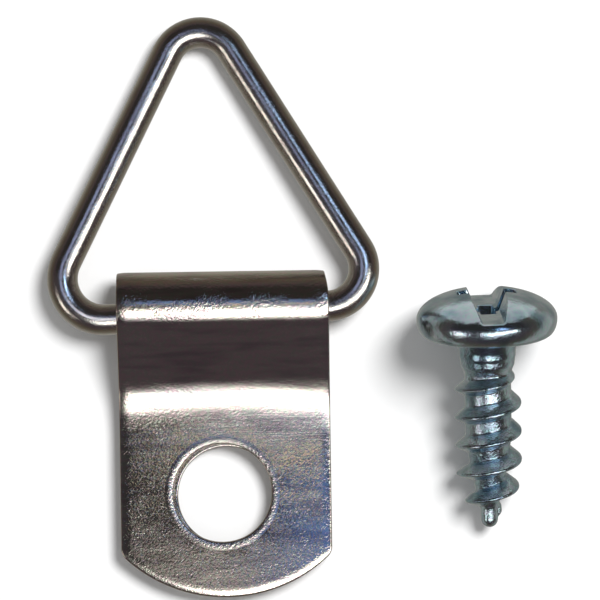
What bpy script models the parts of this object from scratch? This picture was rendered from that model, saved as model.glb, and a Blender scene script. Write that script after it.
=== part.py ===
"""Strap picture hanger with a triangular wire ring and its wood screw, in metres, +Z up.

The hanger lies on its back face at z = 0, with the ring towards +Y. The origin is on the back face,
straight under the ring's hinge axis. The screw lies beside it on the same surface, head towards +Y.
"""

import math

import bmesh
import bpy
from mathutils import Matrix, Vector

# Strap: a strip of sheet steel folded once round the ring's base wire
STRAP_WIDTH = 0.01028
STRAP_LENGTH = 0.0159  # barrel's far side to the tip of the rounded end
SHEET = 0.00055
LEAF_GAP = 0.00008  # spring-back between the two leaves
BARREL_BEND = 0.0015  # outside radius of the barrel's two bends
SHOULDER_BEND = 0.0020  # outside radius, from the barrel's crest down to the neck
RUNOUT_BEND = 0.0042  # radius of the front where the neck runs out into the flat
NECK_SLOPE = math.radians(27.5)
TIP_RADIUS = 0.0072
CORNER_RADIUS = 0.0007
EDGE_ROUND = 0.0001  # tumbled edge of the sheet

# Screw hole, punched in the flat strip, so that its two halves meet a little out of line
HOLE_RADIUS = 0.0024
HOLE_FROM_TIP = 0.0051
HOLE_ROUND = 0.0002  # rolled-in rim on the front
FRONT_HOLE_X = -0.00022
BACK_HOLE_X = 0.00004
BACK_HOLE_SLIP = 0.00016  # of the back leaf's hole towards the tip

# Ring: a wire bent to a triangle, its ends butted inside the barrel
WIRE = 0.0015
WIRE_CLEARANCE = 0.0001  # base wire to the back leaf
WIRE_HEADROOM = 0.0005  # base wire to the inside of the barrel's crest
WIRE_REACH = 0.0007  # base wire to the barrel's far wall
RING_RISE = 0.01561  # hinge axis to where the arms' centre lines would cross
RING_LEFT_RUN = 0.00875  # foot of that crossing to the left corner
RING_RIGHT_RUN = 0.00862
RING_SHIFT = -0.00038  # of that foot from the strap's middle
RING_YAW = math.radians(2.7)
LEFT_BEND = 0.0020  # centre line radius of the left corner
RIGHT_BEND = 0.00182
APEX_BEND = 0.00178
BUTT_GAP = 0.0002

# Screw: number 6 wood screw, measured from the bearing face towards the point
HEAD_RADIUS = 0.0034
DOME_HEIGHT = 0.00162  # widest ring of the head to its top
RIM_HEIGHT = 0.0006  # bearing face to the widest ring
BEARING_RADIUS = 0.00295
NECK_RADIUS = 0.00138
NECK_FILLET = 0.0003
NECK_END = 0.0019
CORE_RADIUS = 0.00113
CORE_END = 0.0048  # the core tapers from here
POINT_RADIUS = 0.00042
POINT_START = 0.0087
SCREW_LENGTH = 0.00966
CORE_TAPER_POWER = 1.4
THREAD_PITCH = 0.00141
THREAD_RADIUS = 0.00162
THREAD_START = 0.00142
THREAD_RAMP = 0.0011  # the thread rises to its full height over this length
THREAD_FADE_START = 0.0055
THREAD_END = 0.0091
THREAD_FADE_POWER = 4
THREAD_FOOT = 0.0006  # ridge's middle to its foot on the head's side
THREAD_BACK_FOOT = 0.0004  # the same on the point's side, where the flank is steeper
THREAD_CREST = 0.00006
THREAD_BULGE_SHARE = 0.66  # of the foot, halfway up a flank
THREAD_SINK = 0.0002  # how far the ridge reaches into the core
THREAD_TURN = math.radians(144)  # where the ridge starts, from +X
SLOT_WIDTH = 0.00105  # at its floor
SLOT_MOUTH = 0.0018  # at the height of the dome's top
SLOT_DEPTH = 0.001
SLOT_TURN = math.radians(3)
CROSS_SPAN = 0.0041
CROSS_WING = 0.00072
CROSS_DEPTH = 0.0019
CROSS_END_SHARE = 0.25  # of the span, at the bottom of the recess

# Where the screw lies
SCREW_X = 0.01275
SCREW_Y = -0.00123  # centre of the bearing face
SCREW_YAW = math.radians(0.5)

# Cuts run this far past what they cut
OVERRUN = 0.001

# Facets
BEND_STEP = math.radians(10)
HOLE_FACETS = 40
TIP_FACETS = 8
CORNER_FACETS = 4
ROUND_FACETS = 2
WIRE_BEVEL_STEPS = 4
SCREW_FACETS = 32
DOME_FACETS = 8
RIM_FACETS = 4
TAPER_FACETS = 6
SHARP_ANGLE = math.radians(35)
WELD = 1e-7


# Shared helpers


def clear_scene():
    for item in list(bpy.data.objects):
        bpy.data.objects.remove(item, do_unlink=True)


def make_material(name, colour, roughness):
    """Principled metal of the colour and roughness that the photograph shows."""
    material = bpy.data.materials.new(name)
    material.use_nodes = True
    shader = material.node_tree.nodes["Principled BSDF"]
    shader.inputs["Base Color"].default_value = (*colour, 1)
    shader.inputs["Metallic"].default_value = 1
    shader.inputs["Roughness"].default_value = roughness
    return material


def add_object(name, data, parent=None):
    item = bpy.data.objects.new(name, data)
    bpy.context.scene.collection.objects.link(item)
    item.parent = parent
    return item


def finish_mesh(bm, name):
    """Mesh data from a bmesh, with its round faces shaded smooth."""
    mesh = bpy.data.meshes.new(name)
    bm.to_mesh(mesh)
    bm.free()
    mesh.shade_smooth()
    mesh.set_sharp_from_angle(angle=SHARP_ANGLE)
    return mesh


def add_empty(name, location, rotation):
    empty = add_object(name, None)
    empty.location = location
    empty.rotation_euler = rotation
    return empty


def walk(bends, distance, start):
    """Point and heading at this distance along a table of (length, turn) pairs.

    The path starts at the point start with heading 0, along the first axis of its plane.
    """
    across, along = start
    heading = 0
    for length, turn in bends:
        step = min(distance, length)
        angle = turn * step / length
        if turn:
            radius = length / turn
            across += radius * (math.sin(heading + angle) - math.sin(heading))
            along += radius * (math.cos(heading) - math.cos(heading + angle))
        else:
            across += step * math.cos(heading)
            along += step * math.sin(heading)
        heading += angle
        distance -= step
        if distance <= 0:
            break
    return across, along, heading


def stations(bends):
    """Distances along the table at which a bend starts, ends or takes its next facet."""
    found = [0]
    for length, turn in bends:
        facets = max(1, math.ceil(abs(turn) / BEND_STEP))
        found += [found[-1] + length * (k + 1) / facets for k in range(facets)]
    return found


# Strap


def barrel_height():
    """Back face to the barrel's crest, with room for the base wire between."""
    return 2 * SHEET + WIRE_CLEARANCE + WIRE + WIRE_HEADROOM


def axis_setback():
    """Barrel's far side to the hinge axis."""
    return SHEET + WIRE_REACH + WIRE / 2


def strap_bends():
    """The strip's middle surface, from the back leaf's tip round the barrel to the front leaf's tip."""
    barrel = BARREL_BEND - SHEET / 2
    shoulder = SHOULDER_BEND - SHEET / 2
    runout = RUNOUT_BEND + SHEET / 2
    drop = barrel_height() - 2 * SHEET - LEAF_GAP
    bent = (shoulder + runout) * (1 - math.cos(NECK_SLOPE))
    neck = (drop - bent) / math.sin(NECK_SLOPE)
    run = (shoulder + runout) * math.sin(NECK_SLOPE) + neck * math.cos(NECK_SLOPE)
    return [
        (STRAP_LENGTH - BARREL_BEND, 0),
        (barrel * math.pi / 2, math.pi / 2),
        (barrel_height() - 2 * BARREL_BEND, 0),
        (barrel * math.pi / 2, math.pi / 2),
        (shoulder * NECK_SLOPE, NECK_SLOPE),
        (neck, 0),
        (runout * NECK_SLOPE, -NECK_SLOPE),
        (STRAP_LENGTH - BARREL_BEND - run, 0),
    ]


def tip_outline(side):
    """(x, distance from the tip) from the tip's middle round to the straight side."""
    half = STRAP_WIDTH / 2
    corner_x = half - CORNER_RADIUS
    to_corner = math.sqrt((TIP_RADIUS - CORNER_RADIUS) ** 2 - corner_x**2)
    meet = math.atan2(corner_x, to_corner)
    points = []
    for k in range(1, TIP_FACETS + 1):
        angle = meet * k / TIP_FACETS
        points.append((TIP_RADIUS * math.sin(angle), TIP_RADIUS * (1 - math.cos(angle))))
    for k in range(1, CORNER_FACETS + 1):
        angle = meet + (math.pi / 2 - meet) * k / CORNER_FACETS
        x = corner_x + CORNER_RADIUS * math.sin(angle)
        points.append((x, TIP_RADIUS - to_corner - CORNER_RADIUS * math.cos(angle)))
    return [(side * x, distance) for x, distance in points]


def half_circle(centre, side):
    """Points of a hole on one side of the seam, between its lowest and its highest point."""
    count = HOLE_FACETS // 2
    angles = [math.pi * k / count - math.pi / 2 for k in range(1, count)]
    return [
        (centre[0] + side * HOLE_RADIUS * math.cos(a), centre[1] + HOLE_RADIUS * math.sin(a))
        for a in angles
    ]


def flat_blank(length, back_hole, front_hole):
    """The punched strip before folding: two faces that meet on a seam through both holes."""
    bm = bmesh.new()

    def point(x, y):
        return bm.verts.new((x, y, -SHEET / 2))

    back_tip = point(0, 0)
    front_tip = point(0, length)
    ends = [
        (point(x, y - HOLE_RADIUS), point(x, y + HOLE_RADIUS)) for x, y in (back_hole, front_hole)
    ]
    for side in (-1, 1):
        edge = tip_outline(side)
        loop = [back_tip]
        for centre, (low, high) in zip((back_hole, front_hole), ends):
            loop += [low, *(point(*spot) for spot in half_circle(centre, side)), high]
        loop.append(front_tip)
        loop += [point(x, length - distance) for x, distance in edge]
        loop += [point(x, distance) for x, distance in reversed(edge)]
        bm.faces.new(loop)
    bmesh.ops.recalc_face_normals(bm, faces=bm.faces)
    sides = bmesh.ops.extrude_face_region(bm, geom=bm.faces[:])
    raised = [item for item in sides["geom"] if isinstance(item, bmesh.types.BMVert)]
    bmesh.ops.translate(bm, verts=raised, vec=(0, 0, SHEET))
    bmesh.ops.recalc_face_normals(bm, faces=bm.faces)
    return bm


def rims(bm):
    """Edges between a leaf's face and the cut edge of the sheet."""
    return [
        edge
        for edge in bm.edges
        if edge.verts[0].co.z == edge.verts[1].co.z and edge.calc_face_angle(0) > math.pi / 4
    ]


def round_edges(bm, edges, width):
    bmesh.ops.bevel(
        bm,
        geom=edges,
        offset=width,
        offset_type="OFFSET",
        segments=ROUND_FACETS,
        profile=0.5,
        affect="EDGES",
        material=-1,
    )


def make_strap(material):
    bends = strap_bends()
    length = sum(run for run, _ in bends)
    back_hole = (BACK_HOLE_X, HOLE_FROM_TIP - BACK_HOLE_SLIP)
    front_hole = (FRONT_HOLE_X, length - HOLE_FROM_TIP)
    bm = flat_blank(length, back_hole, front_hole)
    centre = Vector((*front_hole, -SHEET / 2))
    edges = rims(bm)
    mouth = [
        edge
        for edge in edges
        if all(abs((vert.co - centre).length - HOLE_RADIUS) < EDGE_ROUND for vert in edge.verts)
    ]
    others = [edge for edge in edges if edge not in mouth]
    round_edges(bm, others, EDGE_ROUND)
    mouth = [edge for edge in mouth if edge.is_valid]
    round_edges(bm, mouth, HOLE_ROUND)
    for station in stations(bends)[1:-1]:
        bmesh.ops.bisect_plane(
            bm,
            geom=bm.verts[:] + bm.edges[:] + bm.faces[:],
            dist=WELD,
            plane_co=(0, station, 0),
            plane_no=(0, 1, 0),
        )
    start = (axis_setback() - STRAP_LENGTH, SHEET / 2)
    for vert in bm.verts:
        across, height, heading = walk(bends, vert.co.y, start)
        off = vert.co.z
        vert.co.y = across - off * math.sin(heading)
        vert.co.z = height + off * math.cos(heading)
    strap = add_object("folded_strap", finish_mesh(bm, "folded_strap"))
    strap.data.materials.append(material)
    return strap


# Ring


def axis_height():
    return SHEET + WIRE_CLEARANCE + WIRE / 2


def ring_bends():
    """The wire's centre line as (length, turn), from the butt joint round to it again."""
    left = math.atan2(RING_RISE, RING_LEFT_RUN)
    right = math.atan2(RING_RISE, RING_RIGHT_RUN)
    apex = math.pi - left - right
    left_set = LEFT_BEND / math.tan(left / 2)
    right_set = RIGHT_BEND / math.tan(right / 2)
    apex_set = APEX_BEND / math.tan(apex / 2)
    left_arm = math.hypot(RING_RISE, RING_LEFT_RUN)
    right_arm = math.hypot(RING_RISE, RING_RIGHT_RUN)
    return [
        (RING_RIGHT_RUN + RING_SHIFT - right_set - BUTT_GAP / 2, 0),
        (RIGHT_BEND * (math.pi - right), math.pi - right),
        (right_arm - right_set - apex_set, 0),
        (APEX_BEND * (math.pi - apex), math.pi - apex),
        (left_arm - left_set - apex_set, 0),
        (LEFT_BEND * (math.pi - left), math.pi - left),
        (RING_LEFT_RUN - RING_SHIFT - left_set - BUTT_GAP / 2, 0),
    ]


def ring_reach():
    """Hinge axis to the furthest point of the wire's centre line."""
    left = math.atan2(RING_LEFT_RUN, RING_RISE)
    right = math.atan2(RING_RIGHT_RUN, RING_RISE)
    to_centre = APEX_BEND / math.sin((left + right) / 2)
    return RING_RISE - to_centre * math.cos((left - right) / 2) + APEX_BEND


def make_ring(material):
    """The ring leans on the surface at its apex and hangs in the barrel by its base wire."""
    droop = math.asin((axis_height() - WIRE / 2) / ring_reach())
    hinge = add_empty("ring_hinge", (0, 0, axis_height()), (-droop, 0, RING_YAW))
    bends = ring_bends()
    curve = bpy.data.curves.new("triangle_ring", "CURVE")
    curve.dimensions = "3D"
    curve.bevel_depth = WIRE / 2
    curve.bevel_resolution = WIRE_BEVEL_STEPS
    curve.use_fill_caps = True
    spline = curve.splines.new("POLY")
    places = stations(bends)
    spline.points.add(len(places) - 1)
    for spot, distance in zip(spline.points, places):
        across, along, _ = walk(bends, distance, (BUTT_GAP / 2, 0))
        spot.co = (across, along, 0, 1)
    spline.use_smooth = True
    ring = add_object("triangle_ring", curve, hinge)
    ring.data.materials.append(material)
    return ring


# Screw


def core_radius(depth):
    """Radius of the screw's core at this depth below the bearing face."""
    if depth <= CORE_END:
        return CORE_RADIUS
    share = min(1, (depth - CORE_END) / (POINT_START - CORE_END))
    return CORE_RADIUS + (POINT_RADIUS - CORE_RADIUS) * share**CORE_TAPER_POWER


def crest_radius(depth):
    """Radius of the thread's crest, which rises out of the neck and sinks at the point."""
    rise = min(1, max(0, (depth - THREAD_START) / THREAD_RAMP))
    fade = max(0, (depth - THREAD_FADE_START) / (THREAD_END - THREAD_FADE_START))
    full = THREAD_RADIUS + (POINT_RADIUS - THREAD_RADIUS) * min(1, fade) ** THREAD_FADE_POWER
    foot = core_radius(depth) - THREAD_SINK
    return foot + (full - foot) * rise


def screw_profile():
    """(radius, height) of the turned blank, from the top of the head to the point."""
    points = []
    for k in range(DOME_FACETS + 1):
        angle = math.pi / 2 * (1 - k / DOME_FACETS)
        points.append((HEAD_RADIUS * math.cos(angle), RIM_HEIGHT + DOME_HEIGHT * math.sin(angle)))
    for k in range(1, RIM_FACETS + 1):
        angle = math.pi / 2 * k / RIM_FACETS
        radius = BEARING_RADIUS + (HEAD_RADIUS - BEARING_RADIUS) * math.cos(angle)
        points.append((radius, RIM_HEIGHT * (1 - math.sin(angle))))
    for k in range(RIM_FACETS + 1):
        angle = math.pi / 2 * k / RIM_FACETS
        radius = NECK_RADIUS + NECK_FILLET * (1 - math.sin(angle))
        points.append((radius, NECK_FILLET * (math.cos(angle) - 1)))
    points.append((CORE_RADIUS, -NECK_END))
    for k in range(TAPER_FACETS + 1):
        depth = CORE_END + (POINT_START - CORE_END) * k / TAPER_FACETS
        points.append((core_radius(depth), -depth))
    for k in range(RIM_FACETS + 1):
        angle = math.pi / 2 * k / RIM_FACETS
        depth = SCREW_LENGTH - POINT_RADIUS * (1 - math.sin(angle))
        points.append((POINT_RADIUS * math.cos(angle), -depth))
    points[0] = (0, points[0][1])
    points[-1] = (0, points[-1][1])
    return points


def make_blank():
    """The screw without its thread and recess, turned about +Z."""
    bm = bmesh.new()
    verts = [bm.verts.new((radius, 0, height)) for radius, height in screw_profile()]
    edges = [bm.edges.new(pair) for pair in zip(verts, verts[1:])]
    bmesh.ops.spin(
        bm,
        geom=verts + edges,
        cent=(0, 0, 0),
        axis=(0, 0, 1),
        angle=2 * math.pi,
        steps=SCREW_FACETS,
        use_merge=True,
    )
    bmesh.ops.remove_doubles(bm, verts=bm.verts, dist=WELD)
    bmesh.ops.recalc_face_normals(bm, faces=bm.faces)
    return finish_mesh(bm, "wood_screw")


def make_thread():
    """A right-hand ridge, wound as a unit section and then drawn in to the core and the crest."""
    turns = (THREAD_END - THREAD_START) / THREAD_PITCH
    steps = round(turns * SCREW_FACETS)
    step = (THREAD_END - THREAD_START) / steps
    flanks = [(1, 1), (1.5, THREAD_BULGE_SHARE)]
    section = [(reach, share * THREAD_FOOT) for reach, share in flanks]
    section += [(2, THREAD_CREST), (2, -THREAD_CREST)]
    section += [(reach, -share * THREAD_BACK_FOOT) for reach, share in reversed(flanks)]
    bm = bmesh.new()
    verts = [bm.verts.new((reach, 0, rise - THREAD_START)) for reach, rise in section]
    face = bm.faces.new(verts)
    bmesh.ops.spin(
        bm,
        geom=[*verts, *face.edges, face],
        cent=(0, 0, 0),
        axis=(0, 0, 1),
        dvec=(0, 0, -step),
        angle=-2 * math.pi * turns,
        steps=steps,
    )
    for vert in bm.verts:
        reach = vert.co.xy.length
        depth = max(0, -vert.co.z)
        foot = core_radius(depth) - THREAD_SINK
        radius = foot + (crest_radius(depth) - foot) * (reach - 1)
        vert.co.xy *= radius / reach
    bmesh.ops.rotate(bm, verts=bm.verts, matrix=Matrix.Rotation(THREAD_TURN, 3, "Z"))
    bmesh.ops.recalc_face_normals(bm, faces=bm.faces)
    return finish_mesh(bm, "thread_ridge")


def make_slot():
    """The slot along Y, with its flanks worn open towards the mouth."""
    bm = bmesh.new()
    bmesh.ops.create_cube(bm, size=1)
    top = RIM_HEIGHT + DOME_HEIGHT + OVERRUN
    floor = RIM_HEIGHT + DOME_HEIGHT - SLOT_DEPTH
    open_width = SLOT_WIDTH + (SLOT_MOUTH - SLOT_WIDTH) * (top - floor) / SLOT_DEPTH
    for vert in bm.verts:
        raised = vert.co.z > 0
        width = open_width if raised else SLOT_WIDTH
        reach = 2 * vert.co.y * (HEAD_RADIUS + OVERRUN)
        vert.co = (vert.co.x * width, reach, top if raised else floor)
    return finish_mesh(bm, "slot_cutter")


def make_wing():
    """One wing of the cross recess, along Y, narrowing towards its bottom."""
    bm = bmesh.new()
    bmesh.ops.create_cube(bm, size=1)
    top = RIM_HEIGHT + DOME_HEIGHT + OVERRUN
    floor = RIM_HEIGHT + DOME_HEIGHT - CROSS_DEPTH
    for vert in bm.verts:
        raised = vert.co.z > 0
        span = CROSS_SPAN if raised else CROSS_SPAN * CROSS_END_SHARE
        vert.co = (vert.co.x * CROSS_WING, vert.co.y * span, top if raised else floor)
    return finish_mesh(bm, "wing_cutter")


def screw_rest():
    """Tilt and height of the screw lying on its head's rim and its thread."""
    depths = [THREAD_END * k / SCREW_FACETS for k in range(1, SCREW_FACETS + 1)]
    crests = [(depth, crest_radius(depth)) for depth in depths if depth > THREAD_START]
    tilt = min(math.atan2(HEAD_RADIUS - radius, depth + RIM_HEIGHT) for depth, radius in crests)
    outline = crests + [(-height, radius) for radius, height in screw_profile()]
    height = max(
        depth * math.sin(tilt) + radius * math.cos(tilt) for depth, radius in outline
    )
    return tilt, height


def add_boolean(target, cutter, operation):
    cutter.hide_render = True
    cutter.display_type = "WIRE"
    change = target.modifiers.new(cutter.name, "BOOLEAN")
    change.operation = operation
    change.object = cutter


def make_screw(material):
    tilt, height = screw_rest()
    lay = math.pi / 2 - tilt
    rest = add_empty("screw_rest", (SCREW_X, SCREW_Y, height), (-lay, 0, SCREW_YAW))
    screw = add_object("wood_screw", make_blank(), rest)
    screw.data.materials.append(material)
    add_boolean(screw, add_object("thread_ridge", make_thread(), rest), "UNION")
    cuts = [("slot_cutter", make_slot(), 0)]
    cuts += [(f"wing_cutter_{k + 1}", make_wing(), k * math.pi / 2) for k in range(2)]
    for name, mesh, turn in cuts:
        cutter = add_object(name, mesh, rest)
        cutter.rotation_euler.z = SLOT_TURN + turn
        add_boolean(screw, cutter, "DIFFERENCE")
    return screw


def main():
    clear_scene()
    make_strap(make_material("nickel_strap", (0.62, 0.60, 0.57), 0.28))
    make_ring(make_material("nickel_wire", (0.56, 0.54, 0.52), 0.22))
    make_screw(make_material("zinc_screw", (0.60, 0.67, 0.70), 0.32))
    bpy.context.view_layer.update()


main()
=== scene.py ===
"""Looks of the strap picture hanger: plated strap, wire ring and zinc screw, lying on a pale table.

Units are metres in the CAD frame: +X across the strap, +Y towards the ring's apex, +Z up from the table.
"""

import logging
import math
from dataclasses import dataclass
from enum import Enum
from typing import TypeAlias

import bmesh
import bpy
from mathutils import Euler, Matrix, Vector


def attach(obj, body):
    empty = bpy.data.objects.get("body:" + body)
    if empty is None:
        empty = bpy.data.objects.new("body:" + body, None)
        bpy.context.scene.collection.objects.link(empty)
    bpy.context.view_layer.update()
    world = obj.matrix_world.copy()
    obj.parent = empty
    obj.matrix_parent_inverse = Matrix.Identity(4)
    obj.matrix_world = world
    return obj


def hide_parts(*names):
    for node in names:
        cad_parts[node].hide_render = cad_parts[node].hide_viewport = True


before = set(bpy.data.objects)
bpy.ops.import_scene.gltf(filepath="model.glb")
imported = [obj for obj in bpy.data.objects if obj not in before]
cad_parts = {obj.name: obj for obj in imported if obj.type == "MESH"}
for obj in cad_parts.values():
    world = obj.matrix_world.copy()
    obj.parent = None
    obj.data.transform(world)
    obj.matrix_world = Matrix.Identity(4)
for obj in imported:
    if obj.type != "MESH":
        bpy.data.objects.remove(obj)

LOG = logging.getLogger("hanger")
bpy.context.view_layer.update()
MM = 0.001
WELD = 1e-7
SHARP_ANGLE = math.radians(38)
NOISE_MIDDLE = 0.5
NOISE_ROUGHNESS = 0.55
Colour: TypeAlias = tuple[float, float, float]
Size: TypeAlias = tuple[float, float, float]
Span: TypeAlias = tuple[float, float]
Bend: TypeAlias = tuple[float, float]
Amount: TypeAlias = "Value | float"
Socket: TypeAlias = bpy.types.NodeSocket
Piece: TypeAlias = bpy.types.Object
Mesh: TypeAlias = bmesh.types.BMesh


class Body(Enum):
    """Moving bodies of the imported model."""

    STRAP = "strap"
    RING = "ring"
    SCREW = "screw"


class Slot(Enum):
    """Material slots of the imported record."""

    SHEET = "nickel_strap"
    WIRE = "nickel_wire"
    SCREW = "zinc_screw"


class Value:
    """A shader socket that takes part in Python arithmetic by adding Math nodes."""

    def __init__(self, graph: "Graph", socket: Socket) -> None:
        """Wraps an output of the graph that new Math nodes go to."""
        self.graph = graph
        self.socket = socket

    def math(self, operation: str, *others: Amount) -> "Value":
        """The result of a Math node on this value and its further operands."""
        values = dict(enumerate((self, *others)))
        return self.graph.value("Math", values, operation=operation)

    def __add__(self, other: Amount) -> "Value":
        """Sum."""
        return self.math("ADD", other)

    __radd__ = __add__

    def __sub__(self, other: Amount) -> "Value":
        """Difference."""
        return self.math("SUBTRACT", other)

    def __rsub__(self, other: float) -> "Value":
        """Difference from a number."""
        return self * -1 + other

    def __mul__(self, other: Amount) -> "Value":
        """Product."""
        return self.math("MULTIPLY", other)

    __rmul__ = __mul__

    def __truediv__(self, other: Amount) -> "Value":
        """Quotient."""
        return self.math("DIVIDE", other)

    def __abs__(self) -> "Value":
        """Absolute value."""
        return self.math("ABSOLUTE")

    def most(self, other: Amount) -> "Value":
        """The larger of the two."""
        return self.math("MAXIMUM", other)

    def step(self, low: float, high: float) -> "Value":
        """A smooth step.

        Args:
            low: where the result is 0.
            high: where the result is 1; it may lie under low.

        Returns:
            The step, between 0 and 1.
        """
        rising = high > low
        ends = {"From Min": min(low, high), "From Max": max(low, high)}
        ends |= {"To Min": 0.0 if rising else 1.0, "To Max": 1.0 if rising else 0.0}
        made = self.graph.node("MapRange", {"Value": self, **ends}, interpolation_type="SMOOTHSTEP")
        return Value(self.graph, made.outputs["Result"])


class Graph:
    """The node tree of one material or of the world."""

    def __init__(self, tree: bpy.types.NodeTree) -> None:
        """Empties the node tree to build in."""
        self.tree = tree
        tree.nodes.clear()

    def node(self, kind: str, inputs: dict | None = None, **settings: object) -> bpy.types.Node:
        """Adds a node: its settings first, then its sockets.

        Args:
            kind: the node's type without the leading ShaderNode.
            inputs: values or links by socket name or index.
            settings: the node's own settings, with stops for a ramp's (place, colour) pairs.

        Returns:
            The node.
        """
        made = self.tree.nodes.new("ShaderNode" + kind)
        stops = settings.pop("stops", None)
        for name, setting in settings.items():
            setattr(made, name, setting)
        if stops:
            self.fill_ramp(made.color_ramp, stops)
        for name, given in (inputs or {}).items():
            socket = made.inputs[name]
            source = given.socket if isinstance(given, Value) else given
            if isinstance(source, Socket):
                self.tree.links.new(source, socket)
            else:
                socket.default_value = source
        return made

    @staticmethod
    def fill_ramp(ramp: bpy.types.ColorRamp, stops: tuple[tuple[float, Colour], ...]) -> None:
        """Sets a ramp's stops.

        Args:
            ramp: the ramp, which has its first two stops.
            stops: place and colour of each stop, from left to right.
        """
        while len(ramp.elements) < len(stops):
            ramp.elements.new(1)
        for element, (place, colour) in zip(ramp.elements, stops):
            element.position = place
            element.color = (*colour, 1)

    def value(self, kind: str, inputs: dict | None = None, **settings: object) -> Value:
        """The first output of a new node, wrapped."""
        return Value(self, self.node(kind, inputs, **settings).outputs[0])

    def mix(self, share: Amount, first: object, second: object, blend: str = "MIX") -> Socket:
        """Blends two colours or links, from all of the first at 0 to all of the second at 1."""
        inputs = {0: share, 6: self.rgba(first), 7: self.rgba(second)}
        return self.node("Mix", inputs, data_type="RGBA", blend_type=blend).outputs[2]

    @staticmethod
    def rgba(colour: object) -> object:
        """A colour with its alpha, or the link as it is."""
        return (*colour, 1) if isinstance(colour, tuple) else colour

    def split(self, vector: Socket) -> tuple[Value, Value, Value]:
        """The three parts of a vector."""
        outputs = self.node("SeparateXYZ", {"Vector": vector}).outputs
        return Value(self, outputs[0]), Value(self, outputs[1]), Value(self, outputs[2])


class Skin(Graph):
    """The nodes of one piece's material, which read the piece's own coordinates."""

    def __init__(self, name: str) -> None:
        """Starts an empty material.

        Args:
            name: the material's name.
        """
        self.material = bpy.data.materials.new(name)
        self.material.use_nodes = True
        super().__init__(self.material.node_tree)
        self.place = self.node("TexCoord").outputs["Object"]

    def axes(self) -> tuple[Value, Value, Value]:
        """The point's three coordinates on the piece."""
        return self.split(self.place)

    def grain(self, size: Size | float, detail: float, seed: float, turn: float = 0.0) -> Value:
        """Noise whose grains have this size.

        Args:
            size: grain size in metres, along each axis or along all three.
            detail: octaves above the first.
            seed: shift of the pattern.
            turn: of the pattern about the vertical.

        Returns:
            The noise, from 0 to 1 about its middle.
        """
        place = self.place
        if turn:
            place = self.node("Mapping", {"Vector": place, "Rotation": (0, 0, turn)}).outputs[0]
        sizes = size if isinstance(size, tuple) else (size,) * 3
        scale = tuple(1 / part for part in sizes)
        scaled = self.node("Mapping", {"Vector": place, "Location": (seed,) * 3, "Scale": scale})
        inputs = {"Vector": scaled.outputs[0], "Scale": 1.0, "Detail": detail}
        return self.value("TexNoise", {**inputs, "Roughness": NOISE_ROUGHNESS})

    def surface(self, inputs: dict) -> bpy.types.Material:
        """Ends the nodes in a Principled surface.

        Args:
            inputs: the surface's sockets.

        Returns:
            The finished material.
        """
        shader = self.node("BsdfPrincipled", inputs)
        self.node("OutputMaterial", {"Surface": shader.outputs[0]})
        return self.material


@dataclass(frozen=True)
class Plating:
    """Plated metal with a fine grain, slow ripples, clouds of stain and a faint speckle of tints.

    Sizes are in metres, and a depth is how far the surface rises and falls. A pair of edges says
    where a noise or a place starts to count and where it counts in full. The seed's steps only
    keep the patterns apart.
    """

    name: str
    slot: Slot
    colour: Colour
    stain: Colour
    tints: tuple[Colour, Colour]
    roughness: float
    rough_spread: float
    grain_size: float
    grain_depth: float
    ripple_size: float | Size
    ripple_depth: float
    cloud_size: float | Size
    seed: float
    patch_grains: float = 8
    patch_least: float = 0.5
    speck_grains: float = 1.4
    patch_edges: Span = (0.3, 0.7)
    cloud_edges: Span = (0.42, 0.72)
    speck_edges: Span = (0.42, 0.58)

    def wear(self, skin: Skin) -> Amount:
        """How worn the surface is, 0 where it is as plated."""
        return 0.0

    def haze(self, skin: Skin, wear: Amount) -> Amount:
        """Roughness that handling added."""
        return 0.0

    def grain_share(self, skin: Skin) -> Amount:
        """How much of the grain's depth each place has."""
        return 1.0

    def marks(self, skin: Skin, wear: Amount) -> Amount:
        """Height of what handling and tumbling left on the surface."""
        return 0.0

    def dress(self) -> bpy.types.Material:
        """Builds the finish.

        Returns:
            The material.
        """
        skin = Skin(self.name)
        grain = skin.grain(self.grain_size, detail=3.0, seed=self.seed)
        patches = skin.grain(self.grain_size * self.patch_grains, detail=1.0, seed=self.seed + 2)
        ripple = skin.grain(self.ripple_size, detail=1.0, seed=self.seed + 9)
        cloud = skin.grain(self.cloud_size, detail=2.0, seed=self.seed + 4)
        speck = skin.grain(self.grain_size * self.speck_grains, detail=1.0, seed=self.seed + 6)
        wear = self.wear(skin)
        busy = patches.step(*self.patch_edges) + self.patch_least
        height = (grain - NOISE_MIDDLE) * busy * self.grain_depth * self.grain_share(skin)
        height = height + (ripple - NOISE_MIDDLE) * self.ripple_depth + self.marks(skin, wear)
        bump = skin.node("Bump", {"Strength": 1.0, "Distance": 1.0, "Height": height})
        rough = (patches - NOISE_MIDDLE) * self.rough_spread + self.haze(skin, wear) + self.roughness
        tone = skin.mix(cloud.step(*self.cloud_edges), self.colour, self.stain)
        tint = skin.mix(speck.step(*self.speck_edges), *self.tints)
        tone = skin.mix(1.0, tone, tint, blend="MULTIPLY")
        inputs = {"Base Color": tone, "Metallic": 1.0, "Roughness": rough}
        return skin.surface({**inputs, "Normal": bump.outputs[0]})


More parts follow.
